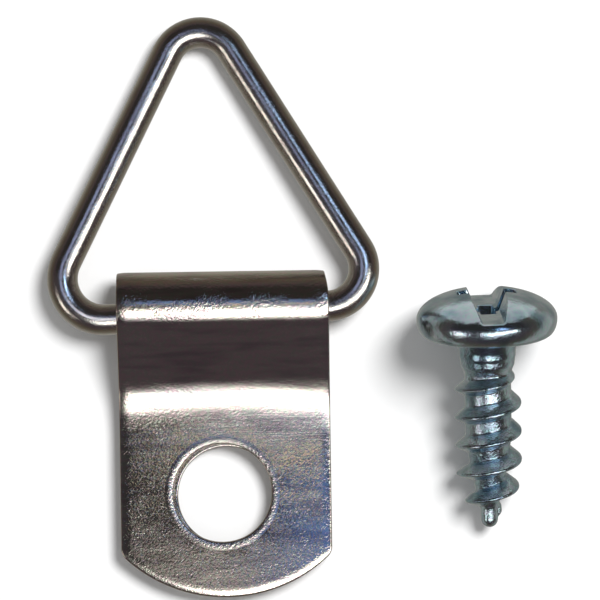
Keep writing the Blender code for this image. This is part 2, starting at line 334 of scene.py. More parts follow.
@dataclass(frozen=True)
class SheetPlating(Plating):
    """Nickel on the strap: bright on its bends, tumbled and scratched on the flat, burnished at the hole.

    The edges along the strap are in y, the sides in x, the face in z, and the rim's from its centre.
    """

    barrel_edges: Span = (-0.45 * MM, -0.1 * MM)
    neck_edges: Span = (-3.1 * MM, -3.5 * MM)
    flat_edges: Span = (-4.4 * MM, -5.6 * MM)
    neck_grain: float = 0.10
    flat_grain: float = 0.38
    hole: Span = (-0.17 * MM, -8.8 * MM)
    rim_edges: Span = (2.84 * MM, 2.532 * MM)
    face_edges: Span = (0.8 * MM, 0.9 * MM)
    rim_haze: float = 0.14
    dent_depth: float = 0.030 * MM
    bead_height: float = 0.032 * MM
    rubbed_edges: Span = (-7.5 * MM, -5.4 * MM)
    rubbed_sides: Span = (-4.5 * MM, 0.0)
    rubbed_least: float = 0.3
    top_haze: float = 0.12
    pit_size: float = 0.10 * MM
    pit_edges: Span = (0.54, 0.72)
    pit_depth: float = 0.0022 * MM
    busy_size: float = 1.1 * MM
    busy_edges: Span = (0.35, 0.65)
    busy_least: float = 0.4
    busy_gain: float = 0.8
    stroke_size: Size = (0.32 * MM, 0.06 * MM, 0.06 * MM)
    stroke_turns: tuple[float, ...] = (0.15, 1.0, -0.8)
    stroke_edges: Span = (0.70, 0.80)
    stroke_depth: float = 0.0011 * MM
    scratch_size: Size = (2.6 * MM, 0.045 * MM, 0.045 * MM)
    scratch_edges: Span = (0.60, 0.70)
    scratch_depth: float = 0.0010 * MM
    scratched_edges: Span = (-6.8 * MM, -6.3 * MM)
    scratched_sides: Span = (-4.0 * MM, 0.0)

    def wear(self, skin: Skin) -> Amount:
        """Burnishing round the front hole.

        Args:
            skin: the material's nodes.

        Returns:
            1 on the hole's rim, and 0 away from it.
        """
        x, y, z = skin.axes()
        across, along = x - self.hole[0], y - self.hole[1]
        radius = (across * across + along * along).math("SQRT")
        return radius.step(*self.rim_edges) * z.step(*self.face_edges)

    def haze(self, skin: Skin, wear: Amount) -> Amount:
        """The hole's rim and the flat's top are rubbed, the top most on its right.

        Args:
            skin: the material's nodes.
            wear: how worn each place is.

        Returns:
            The roughness to add.
        """
        x, y, _ = skin.axes()
        top = y.step(*self.rubbed_edges) * y.step(*self.neck_edges)
        share = x.step(*self.rubbed_sides) * (1 - self.rubbed_least) + self.rubbed_least
        return wear * self.rim_haze + top * share * self.top_haze

    def grain_share(self, skin: Skin) -> Amount:
        """The barrel's skin shows the stretched grain, and the rest was rolled smooth.

        Args:
            skin: the material's nodes.

        Returns:
            The share of the grain's depth.
        """
        y = skin.axes()[1]
        barrel = y.step(*self.barrel_edges) * (1 - self.neck_grain)
        flat = y.step(*self.neck_edges) * (self.flat_grain - self.neck_grain)
        return barrel + flat + self.neck_grain

    def marks(self, skin: Skin, wear: Amount) -> Amount:
        """Tumbling pits and short strokes all over the flat, scratches along its top, dents at the hole.

        Args:
            skin: the material's nodes.
            wear: how worn each place is.

        Returns:
            The height to add.
        """
        x, y, _ = skin.axes()
        flat = y.step(*self.flat_edges)
        scratched = flat * y.step(*self.scratched_edges) * x.step(*self.scratched_sides)
        pits = skin.grain(self.pit_size, detail=1.0, seed=self.seed + 13)
        busy = skin.grain(self.busy_size, detail=2.0, seed=self.seed + 15).step(*self.busy_edges)
        busy = busy * self.busy_gain + self.busy_least
        height = (pits - NOISE_MIDDLE) * wear * self.dent_depth + wear * self.bead_height
        height = height - pits.step(*self.pit_edges) * flat * busy * self.pit_depth
        for k, turn in enumerate(self.stroke_turns):
            strokes = skin.grain(self.stroke_size, detail=0.0, seed=self.seed + 17 + k, turn=turn)
            height = height - strokes.step(*self.stroke_edges) * flat * self.stroke_depth
        scratches = skin.grain(self.scratch_size, detail=0.0, seed=self.seed + 31)
        return height - scratches.step(*self.scratch_edges) * scratched * self.scratch_depth


@dataclass(frozen=True)
class ZincPlating(Plating):
    """Blue zinc on the screw: even on its head, and broken up on its rolled shank."""

    shank_edges: Span = (-2.0 * MM, -2.9 * MM)
    head_grain: float = 0.26

    def grain_share(self, skin: Skin) -> Amount:
        """Thread rolling left the shank's skin rough."""
        shank = skin.axes()[1].step(*self.shank_edges)
        return shank * (1 - self.head_grain) + self.head_grain


@dataclass(frozen=True)
class PaleTable:
    """Matt white table."""

    colour: Colour = (0.93, 0.93, 0.93)
    roughness: float = 0.9

    def dress(self) -> bpy.types.Material:
        """Builds the finish."""
        inputs = {"Base Color": (*self.colour, 1), "Roughness": self.roughness}
        return Skin("pale_table").surface({**inputs, "Specular IOR Level": 0.0})


SHEET_NICKEL = SheetPlating(
    name="nickel_sheet",
    slot=Slot.SHEET,
    colour=(0.92, 0.87, 0.82),
    stain=(0.66, 0.60, 0.62),
    tints=((1.0, 0.91, 0.95), (0.90, 0.97, 0.92)),
    roughness=0.10,
    rough_spread=0.06,
    grain_size=0.12 * MM,
    grain_depth=0.016 * MM,
    ripple_size=(3.0 * MM, 1.2 * MM, 1.2 * MM),
    ripple_depth=0.010 * MM,
    cloud_size=(4.0 * MM, 0.7 * MM, 0.7 * MM),
    seed=3.0,
)
WIRE_NICKEL = Plating(
    name="nickel_drawn_wire",
    slot=Slot.WIRE,
    colour=(0.84, 0.82, 0.79),
    stain=(0.74, 0.70, 0.69),
    tints=((1.0, 0.95, 0.97), (0.93, 0.97, 0.97)),
    roughness=0.16,
    rough_spread=0.06,
    grain_size=0.09 * MM,
    grain_depth=0.009 * MM,
    ripple_size=1.0 * MM,
    ripple_depth=0.003 * MM,
    cloud_size=1.08 * MM,
    seed=21.0,
)
SCREW_ZINC = ZincPlating(
    name="blue_zinc",
    slot=Slot.SCREW,
    colour=(0.62, 0.75, 0.84),
    stain=(0.30, 0.45, 0.56),
    tints=((0.92, 1.0, 0.98), (1.0, 0.93, 1.0)),
    roughness=0.19,
    rough_spread=0.12,
    grain_size=0.13 * MM,
    grain_depth=0.028 * MM,
    ripple_size=0.4 * MM,
    ripple_depth=0.012 * MM,
    cloud_size=1.56 * MM,
    seed=40.0,
)


def close_up(bm: Mesh) -> None:
    """Merges the doubles, then points the faces outwards."""
    bmesh.ops.remove_doubles(bm, verts=bm.verts, dist=WELD)
    bmesh.ops.recalc_face_normals(bm, faces=bm.faces)


def add_piece(name: str, bm: Mesh, place: Matrix | None = None) -> Piece:
    """Turns a bmesh into an object at the origin.

    Args:
        name: the object's name.
        bm: the mesh, which is freed.
        place: where it goes, put into its vertices.

    Returns:
        The object.
    """
    if place is not None:
        bmesh.ops.transform(bm, matrix=place, verts=bm.verts)
    mesh = bpy.data.meshes.new(name)
    bm.to_mesh(mesh)
    bm.free()
    mesh.shade_smooth()
    mesh.set_sharp_from_angle(angle=SHARP_ANGLE)
    made = bpy.data.objects.new(name, mesh)
    bpy.context.scene.collection.objects.link(made)
    return made


def hand_over(piece: Piece, finish: Plating, body: Body, node: str) -> None:
    """Gives a finished piece its material, body and place in the record.

    Args:
        piece: the object.
        finish: what it is plated with.
        body: the body that it moves with.
        node: the CAD node that it stands for.
    """
    piece.data.materials.clear()
    piece.data.materials.append(finish.dress())
    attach(piece, body.value)
    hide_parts(node)
    LOG.info("%s: %d faces, %s", piece.name, len(piece.data.polygons), finish.name)


class Path:
    """A line of straights and bends in a plane."""

    def __init__(self, bends: list[Bend], start: tuple[float, float] = (0.0, 0.0)) -> None:
        """Keeps each stretch's length and turn, and the start, which heads along the first axis."""
        self.bends = bends
        self.start = start

    @property
    def length(self) -> float:
        """Length of the whole line."""
        return sum(run for run, _ in self.bends)

    def at(self, distance: float) -> tuple[float, float, float]:
        """Point and heading at a distance along the line.

        Args:
            distance: from the start.

        Returns:
            Both coordinates and the heading.
        """
        across, along = self.start
        heading = 0.0
        for run, turn in self.bends:
            step = min(distance, run)
            angle = turn * step / run
            if turn:
                radius = run / turn
                across += radius * (math.sin(heading + angle) - math.sin(heading))
                along += radius * (math.cos(heading) - math.cos(heading + angle))
            else:
                across += step * math.cos(heading)
                along += step * math.sin(heading)
            heading += angle
            distance -= step
            if distance <= 0:
                break
        return across, along, heading

    def stations(self, turn_step: float, run_step: float) -> list[float]:
        """Distances at which the line is cut.

        Args:
            turn_step: largest turn between two cuts.
            run_step: largest straight between two cuts.

        Returns:
            The distances, without the two ends.
        """
        found = [0.0]
        for run, turn in self.bends:
            cuts = math.ceil(abs(turn) / turn_step) if turn else math.ceil(run / run_step)
            found += [found[-1] + run * (k + 1) / cuts for k in range(cuts)]
        return found[1:-1]


class Pen:
    """Draws an outline in a mesh, on the level that it starts on."""

    def __init__(self, bm: Mesh, start: tuple[float, float, float]) -> None:
        """Puts the pen down."""
        self.bm = bm
        self.vert = bm.verts.new(start)

    def move(self, x: float, y: float) -> None:
        """Draws a straight to a point."""
        self.vert = bmesh.ops.extrude_vert_indiv(self.bm, verts=[self.vert])["verts"][0]
        self.vert.co.xy = (x, y)

    def spin(self, centre: Span, angle: float, steps: int) -> None:
        """Draws an arc about a centre."""
        turn = {"cent": (*centre, self.vert.co.z), "axis": (0, 0, 1), "angle": angle, "steps": steps}
        self.vert = bmesh.ops.spin(self.bm, geom=[self.vert], **turn)["geom_last"][0]


@dataclass
class FoldedStrap:
    """The strip of sheet, punched flat and folded round the ring's base wire."""

    width: float = 10.28 * MM
    length: float = 15.9 * MM
    sheet: float = 0.55 * MM
    leaf_gap: float = 0.08 * MM
    height: float = 3.2 * MM
    setback: float = 2.0 * MM
    barrel_bend: float = 1.5 * MM
    shoulder_bend: float = 2.35 * MM
    runout_bend: float = 3.6 * MM
    runout_middle_bend: float = 3.2 * MM
    settle: tuple[Bend, ...] = ((6.6 * MM, math.radians(14)), (10 * MM, math.radians(5)))
    neck_slope: float = math.radians(26.3)
    neck_side_slope: float = math.radians(24.6)
    tip_radius: float = 7.2 * MM
    corner_radius: float = 0.7 * MM
    edge_round: float = 0.06 * MM
    rim_width: float = 0.5 * MM
    rim_steps: int = 9
    side_roll: float = 0.03 * MM
    tip_roll: float = 0.10 * MM
    hole_roll: float = 0.05 * MM
    hole_radius: float = 2.4 * MM
    hole_from_tip: float = 5.1 * MM
    front_hole_x: float = -0.17 * MM
    back_hole_x: float = 0.04 * MM
    back_hole_slip: float = 0.16 * MM
    end_pull: float = 0.22 * MM
    side_share: float = 0.42
    hole_reach: float = 3.6 * MM
    tip_reach: float = 0.42
    tip_ease: float = 0.5
    hole_facets: int = 48
    tip_facets: int = 20
    corner_facets: int = 8
    turn_step: float = math.radians(4)
    run_step: float = 0.5 * MM
    strips: int = 20

    def path(self, x: float) -> Path:
        """The strip's middle surface from the back tip to the front tip.

        Args:
            x: place across the strap, because the neck runs out more tightly in the middle.

        Returns:
            The line, in (y, z).
        """
        side = min(1.0, abs(x - self.front_hole_x) / (self.side_share * self.width))
        runout_bend = self.runout_middle_bend + (self.runout_bend - self.runout_middle_bend) * side**2
        barrel = self.barrel_bend - self.sheet / 2
        shoulder = self.shoulder_bend - self.sheet / 2
        runout = runout_bend + self.sheet / 2
        slope = self.neck_slope + (self.neck_side_slope - self.neck_slope) * side**2
        falling = [(runout, slope), *self.settle, (0.0, 0.0)]
        arcs = [(radius, high, low) for (radius, high), (_, low) in zip(falling, falling[1:])]
        bent = shoulder * (1 - math.cos(slope))
        bent += sum(radius * (math.cos(low) - math.cos(high)) for radius, high, low in arcs)
        neck = (self.height - 2 * self.sheet - self.leaf_gap - bent) / math.sin(slope)
        run = shoulder * math.sin(slope) + neck * math.cos(slope)
        run += sum(radius * (math.sin(high) - math.sin(low)) for radius, high, low in arcs)
        quarter = (barrel * math.pi / 2, math.pi / 2)
        bends = [
            (self.length - self.barrel_bend, 0.0),
            quarter,
            (self.height - 2 * self.barrel_bend, 0.0),
            quarter,
            (shoulder * slope, slope),
            (neck, 0.0),
            *((radius * (high - low), low - high) for radius, high, low in arcs),
            (self.length - self.barrel_bend - run, 0.0),
        ]
        return Path(bends, (self.setback - self.length, self.sheet / 2))

    def half_outline(self, bm: Mesh, length: float) -> None:
        """Draws the right half of the blank, by spins and straight moves, and fills it.

        Args:
            bm: the mesh to draw in.
            length: of the whole blank.
        """
        corner_x = self.width / 2 - self.corner_radius
        to_corner = math.sqrt((self.tip_radius - self.corner_radius) ** 2 - corner_x**2)
        meet = math.atan2(corner_x, to_corner)
        corner_y = self.tip_radius - to_corner
        pen = Pen(bm, (0, 0, -self.sheet / 2))
        for centre in (self.hole_from_tip, length - self.hole_from_tip):
            pen.move(0, centre - self.hole_radius)
            pen.spin((0, centre), math.pi, self.hole_facets)
        pen.move(0, length)
        pen.spin((0, length - self.tip_radius), -meet, self.tip_facets)
        pen.spin((corner_x, length - corner_y), meet - math.pi / 2, self.corner_facets)
        pen.move(self.width / 2, corner_y)
        pen.spin((corner_x, corner_y), meet - math.pi / 2, self.corner_facets)
        pen.spin((0, self.tip_radius), -meet, self.tip_facets)
        bmesh.ops.remove_doubles(bm, verts=bm.verts, dist=WELD)
        bmesh.ops.contextual_create(bm, geom=bm.edges[:])

    def blank(self, length: float) -> Mesh:
        """The punched strip before folding.

        Args:
            length: of the strip.

        Returns:
            Its mesh, with its middle at z = 0.
        """
        bm = bmesh.new()
        self.half_outline(bm, length)
        bmesh.ops.mirror(bm, geom=bm.verts[:] + bm.edges[:] + bm.faces[:], merge_dist=WELD, axis="X")
        bmesh.ops.remove_doubles(bm, verts=bm.verts, dist=WELD)
        shifts = (
            (self.hole_from_tip, (self.back_hole_x, -self.back_hole_slip, 0)),
            (length - self.hole_from_tip, (self.front_hole_x, 0, 0)),
        )
        for centre, shift in shifts:
            rim = [v for v in bm.verts if (v.co.xy - Vector((0, centre))).length < self.hole_radius + WELD]
            bmesh.ops.translate(bm, verts=rim, vec=shift)
        bmesh.ops.recalc_face_normals(bm, faces=bm.faces)
        made = bmesh.ops.extrude_face_region(bm, geom=bm.faces[:])
        raised = [item for item in made["geom"] if isinstance(item, bmesh.types.BMVert)]
        bmesh.ops.translate(bm, verts=raised, vec=(0, 0, self.sheet))
        bmesh.ops.recalc_face_normals(bm, faces=bm.faces)
        return bm

    def roll(self, x: float, along: float, length: float) -> float:
        """How deep the rim's shallow roll is: most at the tips and little along the sides.

        Args:
            x: place across the blank.
            along: place along it.
            length: of the blank.

        Returns:
            The depth at the very edge.
        """
        from_tip = min(along, length - along)
        if math.hypot(x - self.front_hole_x, from_tip - self.hole_from_tip) < self.hole_reach:
            return self.hole_roll if along > length / 2 else 0.0
        share = min(1.0, max(0.0, (self.tip_reach - from_tip / self.tip_radius) / self.tip_ease))
        return self.side_roll + (self.tip_roll - self.side_roll) * share

    def drop_at(self, inset: float, roll: float) -> float:
        """How far the face lies under its flat level, at a distance in from the edge.

        Args:
            inset: the distance.
            roll: depth of the shallow roll at the very edge.

        Returns:
            The depth.
        """
        shallow = roll * (1 - inset / self.rim_width) ** 2
        if inset >= self.edge_round:
            return shallow
        return shallow + self.edge_round - math.sqrt(self.edge_round**2 - (self.edge_round - inset) ** 2)

    def soften_rims(self, bm: Mesh, length: float) -> None:
        """Insets both faces of the blank in small steps, and lowers each step towards the edge.

        Args:
            bm: the blank.
            length: of the blank.
        """
        for side in (-1, 1):
            region = [face for face in bm.faces if round(face.normal.z) == side]
            insets: dict[bmesh.types.BMVert, float] = {}
            gone = 0.0
            for k in range(1, self.rim_steps + 1):
                inset = self.rim_width * (k / self.rim_steps) ** 2
                made = bmesh.ops.inset_region(bm, faces=region, thickness=inset - gone, use_even_offset=True)
                ring = {vert for face in made["faces"] for vert in face.verts}
                inner = {vert for face in region for vert in face.verts} & ring
                insets |= {vert: inset if vert in inner else gone for vert in ring}
                gone = inset
            for vert, inset in insets.items():
                depth = self.roll(vert.co.x, vert.co.y, length)
                vert.co.z -= side * self.drop_at(inset, depth)

    def fold(self, bm: Mesh) -> list[Vector]:
        """Bends the blank along its path, and draws the barrel's right end in a little at its far side.

        Args:
            bm: the blank.

        Returns:
            The surface's normal at each vertex.
        """
        stations = self.path(0).stations(self.turn_step, self.run_step)
        cuts = [((0, station, 0), (0, 1, 0)) for station in stations]
        for k in range(1, self.strips):
            cuts.append(((self.width * (k / self.strips - 0.5), 0, 0), (1, 0, 0)))
        for point, normal in cuts:
            geom = bm.verts[:] + bm.edges[:] + bm.faces[:]
            bmesh.ops.bisect_plane(bm, geom=geom, dist=WELD, plane_co=point, plane_no=normal)
        bm.normal_update()
        normals = []
        for vert in bm.verts:
            x, along, off = vert.co
            y, z, heading = self.path(x).at(along)
            turn = Matrix.Rotation(heading, 3, "X")
            flat = abs(abs(off) - self.sheet / 2) < WELD
            normals.append(turn @ (Vector((0, 0, math.copysign(1, off))) if flat else vert.normal))
            vert.co.yz = Vector((y, z)) + (turn @ Vector((0, 0, off))).yz
            if x > 0:
                reach = max(0.0, (vert.co.y - (self.setback - self.barrel_bend)) / self.barrel_bend)
                vert.co.x -= self.end_pull * reach**2 * (2 * x / self.width) ** 3
        return normals

    def build(self) -> Piece:
        """Builds and dresses the strap.

        Returns:
            The strap.
        """
        length = self.path(0).length
        bm = self.blank(length)
        self.soften_rims(bm, length)
        normals = self.fold(bm)
        strap = add_piece("strap_sheet", bm)
        strap.data.set_sharp_from_angle(angle=math.pi)
        strap.data.normals_split_custom_set_from_vertices(normals)
        hand_over(strap, SHEET_NICKEL, Body.STRAP, "folded_strap")
        return strap


@dataclass
class TriangleRing:
    """The wire, bent to a triangle with its ends butted inside the barrel."""

    wire: float = 1.5 * MM
    axis_height: float = 1.4 * MM
    rise: float = 15.61 * MM
    left_run: float = 8.75 * MM
    right_run: float = 8.62 * MM
    shift: float = -0.38 * MM
    yaw: float = math.radians(2.7)
    left_bend: float = 2.0 * MM
    right_bend: float = 1.82 * MM
    apex_bend: float = 1.78 * MM
    butt_gap: float = 0.2 * MM
    facets: int = 40
    turn_step: float = math.radians(4)
    run_step: float = 1.0 * MM

    def bends(self) -> list[Bend]:
        """Length and turn of each stretch, from the butt joint round to it again.

        Returns:
            The stretches.
        """
        left = math.atan2(self.rise, self.left_run)
        right = math.atan2(self.rise, self.right_run)
        apex = math.pi - left - right
        left_set = self.left_bend / math.tan(left / 2)
        right_set = self.right_bend / math.tan(right / 2)
        apex_set = self.apex_bend / math.tan(apex / 2)
        left_arm = math.hypot(self.rise, self.left_run)
        right_arm = math.hypot(self.rise, self.right_run)
        return [
            (self.right_run + self.shift - right_set - self.butt_gap / 2, 0.0),
            (self.right_bend * (math.pi - right), math.pi - right),
            (right_arm - right_set - apex_set, 0.0),
            (self.apex_bend * (math.pi - apex), math.pi - apex),
            (left_arm - left_set - apex_set, 0.0),
            (self.left_bend * (math.pi - left), math.pi - left),
            (self.left_run - self.shift - left_set - self.butt_gap / 2, 0.0),
        ]

    def reach(self) -> float:
        """Hinge axis to the furthest point of the centre line.

        Returns:
            The distance.
        """
        left = math.atan2(self.left_run, self.rise)
        right = math.atan2(self.right_run, self.rise)
        to_centre = self.apex_bend / math.sin((left + right) / 2)
        return self.rise - to_centre * math.cos((left - right) / 2) + self.apex_bend

    def place(self) -> Matrix:
        """The ring hangs in the barrel and leans on the table at its apex.

        Returns:
            Where the flat ring goes.
        """
        droop = math.asin((self.axis_height - self.wire / 2) / self.reach())
        turn = Euler((-droop, 0, self.yaw)).to_matrix().to_4x4()
        return Matrix.Translation((0, 0, self.axis_height)) @ turn

    def build(self) -> Piece:
        """Sweeps the wire's section along its bends, and dresses it.

        Returns:
            The ring.
        """
        bm = bmesh.new()
        start = Matrix.Translation((self.butt_gap / 2, 0, 0)) @ Matrix.Rotation(math.pi / 2, 4, "Y")
        bmesh.ops.create_circle(
            bm, cap_ends=True, radius=self.wire / 2, segments=self.facets, matrix=start
        )
        loop = bm.edges[:]
        path = Path(self.bends(), (self.butt_gap / 2, 0))
        gone = 0.0
        for run, turn in self.bends():
            x, y, heading = path.at(gone)
            gone += run
            steps = round(abs(turn) / self.turn_step if turn else run / self.run_step)
            ahead = Vector((math.cos(heading), math.sin(heading), 0))
            sweep = {"cent": (0, 0, 0), "angle": 0, "dvec": ahead * run / steps}
            if turn:
                radius = run / turn
                centre = (x - radius * ahead.y, y + radius * ahead.x, 0)
                sweep = {"cent": centre, "angle": turn}
            geom = loop + list({vert for edge in loop for vert in edge.verts})
            moved = bmesh.ops.spin(bm, geom=geom, axis=(0, 0, 1), steps=steps, **sweep)
            loop = [item for item in moved["geom_last"] if isinstance(item, bmesh.types.BMEdge)]
        bmesh.ops.contextual_create(bm, geom=loop)
        close_up(bm)
        ring = add_piece("wire_triangle", bm, self.place())
        hand_over(ring, WIRE_NICKEL, Body.RING, "triangle_ring")
        return ring


def quarter_arc(steps: int) -> list[tuple[float, float]]:
    """Cosine and sine of each point of a quarter circle, from 0 to 90 degrees."""
    angles = [math.pi / 2 * k / steps for k in range(steps + 1)]
    return [(math.cos(angle), math.sin(angle)) for angle in angles]


@dataclass
class WoodScrew:
    """The pan head wood screw, measured from its bearing face towards its point."""

    head_radius: float = 3.4 * MM
    dome_height: float = 1.42 * MM
    rim_height: float = 0.8 * MM
    bearing_radius: float = 2.95 * MM
    neck_radius: float = 1.53 * MM
    neck_flare: float = 0.03 * MM
    neck_fillet: float = 0.08 * MM
    neck_steps: tuple[tuple[float, float], ...] = (
        (1.38 * MM, 0.75 * MM),
        (1.37 * MM, 1.05 * MM),
        (1.34 * MM, 1.12 * MM),
        (1.31 * MM, 1.45 * MM),
    )
    neck_end: float = 1.9 * MM
    core_radius: float = 1.13 * MM
    core_end: float = 4.8 * MM
    point_radius: float = 0.42 * MM
    point_start: float = 8.7 * MM
    length: float = 9.66 * MM
    core_power: float = 1.4
    pitch: float = 1.41 * MM
    thread_radius: float = 1.62 * MM
    thread_start: float = 1.42 * MM
    thread_ramp: float = 1.1 * MM
    fade_start: float = 5.5 * MM
    thread_end: float = 9.1 * MM
    fade_power: float = 4
    foot: float = 0.6 * MM
    back_foot: float = 0.4 * MM
    crest: float = 0.06 * MM
    bulge_reach: float = 1.5
    bulge_share: float = 0.66
    sink: float = 0.2 * MM
    thread_turn: float = math.radians(144)
    slot_width: float = 1.05 * MM
    slot_mouth: float = 1.8 * MM
    slot_depth: float = 1.0 * MM
    slot_turn: float = math.radians(3)
    cross_span: float = 4.1 * MM
    cross_wing: float = 0.72 * MM
    cross_depth: float = 1.9 * MM
    cross_end_share: float = 0.25
    x: float = 12.75 * MM
    y: float = -1.23 * MM
    yaw: float = math.radians(0.5)
    overrun: float = 1.0 * MM
    facets: int = 96
    dome_steps: int = 16
    arc_steps: int = 8
    taper_steps: int = 12
    lay_steps: int = 64
    voxel: float = 0.053 * MM
    smooth_passes: int = 3

    def core(self, depth: float) -> float:
        """Radius of the core at a depth below the bearing face.

        Args:
            depth: from the bearing face down.

        Returns:
            The radius.
        """
        if depth <= self.core_end:
            return self.core_radius
        share = min(1.0, (depth - self.core_end) / (self.point_start - self.core_end))
        return self.core_radius + (self.point_radius - self.core_radius) * share**self.core_power

    def crest_at(self, depth: float) -> float:
        """Radius of the thread's crest, which rises out of the neck and sinks at the point.

        Args:
            depth: from the bearing face down.

        Returns:
            The radius.
        """
        rise = min(1.0, max(0.0, (depth - self.thread_start) / self.thread_ramp))
        fade = max(0.0, (depth - self.fade_start) / (self.thread_end - self.fade_start))
        lost = (self.point_radius - self.thread_radius) * min(1.0, fade) ** self.fade_power
        root = self.core(depth) - self.sink
        return root + (self.thread_radius + lost - root) * rise

    def profile(self) -> list[tuple[float, float]]:
        """Radius and height of the turned blank, from the head's top to the point.

        Returns:
            The points of its profile.
        """
        arc = quarter_arc(self.arc_steps)
        points = [
            (self.head_radius * cos, self.rim_height + self.dome_height * sin)
            for cos, sin in reversed(quarter_arc(self.dome_steps))
        ]
        for cos, sin in arc[1:]:
            radius = self.bearing_radius + (self.head_radius - self.bearing_radius) * cos
            points.append((radius, self.rim_height * (1 - sin)))
        for cos, sin in arc:
            radius = self.neck_radius + self.neck_flare * (1 - sin)
            points.append((radius, self.neck_fillet * (cos - 1)))
        points += [(radius, -depth) for radius, depth in self.neck_steps]
        points.append((self.core_radius, -self.neck_end))
        for k in range(self.taper_steps + 1):
            depth = self.core_end + (self.point_start - self.core_end) * k / self.taper_steps
            points.append((self.core(depth), -depth))
        for cos, sin in arc:
            points.append((self.point_radius * cos, self.point_radius * (1 - sin) - self.length))
        points[0] = (0.0, points[0][1])
        points[-1] = (0.0, points[-1][1])
        return points

    def blank(self) -> Mesh:
        """The screw without its thread and recess, spun about +Z.

        Returns:
            The turned blank.
        """
        bm = bmesh.new()
        verts = [bm.verts.new((radius, 0, height)) for radius, height in self.profile()]
        edges = [bm.edges.new(pair) for pair in zip(verts, verts[1:])]
        whole = {"cent": (0, 0, 0), "axis": (0, 0, 1), "angle": 2 * math.pi}
        bmesh.ops.spin(bm, geom=verts + edges, steps=self.facets, use_merge=True, **whole)
        close_up(bm)
        return bm

    def thread(self) -> Mesh:
        """The right-hand ridge, wound as a unit section and drawn in to the core and the crest.

        Returns:
            The ridge.
        """
        turns = (self.thread_end - self.thread_start) / self.pitch
        steps = round(turns * self.facets)
        step = (self.thread_end - self.thread_start) / steps
        flanks = [(1, 1), (self.bulge_reach, self.bulge_share)]
        section = [(reach, share * self.foot) for reach, share in flanks]
        section += [(2, self.crest), (2, -self.crest)]
        section += [(reach, -share * self.back_foot) for reach, share in reversed(flanks)]
        bm = bmesh.new()
        verts = [bm.verts.new((reach, 0, rise - self.thread_start)) for reach, rise in section]
        face = bm.faces.new(verts)
        wound = {"cent": (0, 0, 0), "axis": (0, 0, 1), "angle": -2 * math.pi * turns}
        bmesh.ops.spin(bm, geom=[*verts, *face.edges, face], steps=steps, dvec=(0, 0, -step), **wound)
        for vert in bm.verts:
            reach = vert.co.xy.length
            depth = max(0.0, -vert.co.z)
            root = self.core(depth) - self.sink
            vert.co.xy *= (root + (self.crest_at(depth) - root) * (reach - 1)) / reach
        bmesh.ops.rotate(bm, verts=bm.verts, matrix=Matrix.Rotation(self.thread_turn, 3, "Z"))
        bmesh.ops.recalc_face_normals(bm, faces=bm.faces)
        return bm

    def cutter(self, floor: Span, mouth: Span, depth: float) -> Mesh:
        """A tapered block that cuts into the head's top.

        Args:
            floor: width and length of its floor.
            mouth: width and length above the head.
            depth: of its floor under the dome's top.

        Returns:
            The block.
        """
        bm = bmesh.new()
        bmesh.ops.create_cube(bm, size=1)
        top = self.rim_height + self.dome_height
        for vert in bm.verts:
            width, length, height = (*mouth, self.overrun) if vert.co.z > 0 else (*floor, -depth)
            vert.co = (vert.co.x * width, vert.co.y * length, top + height)
        return bm

    def place(self) -> Matrix:
        """The screw lies on its head's rim and its thread.

        Returns:
            Where the upright screw goes.
        """
        depths = [self.thread_end * k / self.lay_steps for k in range(1, self.lay_steps + 1)]
        crests = [(d, self.crest_at(d)) for d in depths if d > self.thread_start]
        tilt = min(math.atan2(self.head_radius - r, d + self.rim_height) for d, r in crests)
        outline = crests + [(-height, radius) for radius, height in self.profile()]
        height = max(d * math.sin(tilt) + r * math.cos(tilt) for d, r in outline)
        turn = Euler((tilt - math.pi / 2, 0, self.yaw)).to_matrix().to_4x4()
        return Matrix.Translation((self.x, self.y, height)) @ turn

    def build(self) -> Piece:
        """Joins the ridge to the blank, cuts the recess, and dresses the screw.

        Returns:
            The screw.
        """
        place = self.place()
        screw = add_piece("screw_body", self.blank(), place)
        flare = (self.slot_mouth - self.slot_width) * (self.slot_depth + self.overrun) / self.slot_depth
        reach = 2 * (self.head_radius + self.overrun)
        slot = self.cutter((self.slot_width, reach), (self.slot_width + flare, reach), self.slot_depth)
        helpers = [("UNION", self.thread(), 0.0), ("DIFFERENCE", slot, self.slot_turn)]
        floor = (self.cross_wing, self.cross_span * self.cross_end_share)
        for turn in (self.slot_turn, self.slot_turn + math.pi / 2):
            wing = self.cutter(floor, (self.cross_wing, self.cross_span), self.cross_depth)
            helpers.append(("DIFFERENCE", wing, turn))
        tools = []
        for operation, bm, turn in helpers:
            tool = add_piece("screw_tool", bm, place @ Matrix.Rotation(turn, 4, "Z"))
            change = screw.modifiers.new(operation, "BOOLEAN")
            change.operation = operation
            change.object = tool
            tools.append(tool)
        remesh = screw.modifiers.new("rolled_skin", "REMESH")
        remesh.mode = "VOXEL"
        remesh.voxel_size = self.voxel
        soften = screw.modifiers.new("soften", "SMOOTH")
        soften.iterations = self.smooth_passes
        shown = screw.evaluated_get(bpy.context.evaluated_depsgraph_get())
        mesh = bpy.data.meshes.new_from_object(shown)
        screw.modifiers.clear()
        for tool in tools:
            bpy.data.objects.remove(tool, do_unlink=True)
        mesh.name = screw.name
        screw.data = mesh
        mesh.shade_smooth()
        hand_over(screw, SCREW_ZINC, Body.SCREW, "wood_screw")
        return screw


def hang(light: bpy.types.AreaLight, place: Vector, towards: Vector) -> bpy.types.Object:
    """Hangs a light that the camera doesn't see.

    Args:
        light: what to hang.
        place: of its middle.
        towards: where its back faces.

    Returns:
        The lamp.
    """
    lamp = bpy.data.objects.new(light.name, light)
    lamp.location = place
    lamp.rotation_euler = towards.to_track_quat("Z", "Y").to_euler()
    lamp.visible_camera = False
    bpy.context.scene.collection.objects.link(lamp)
    return lamp


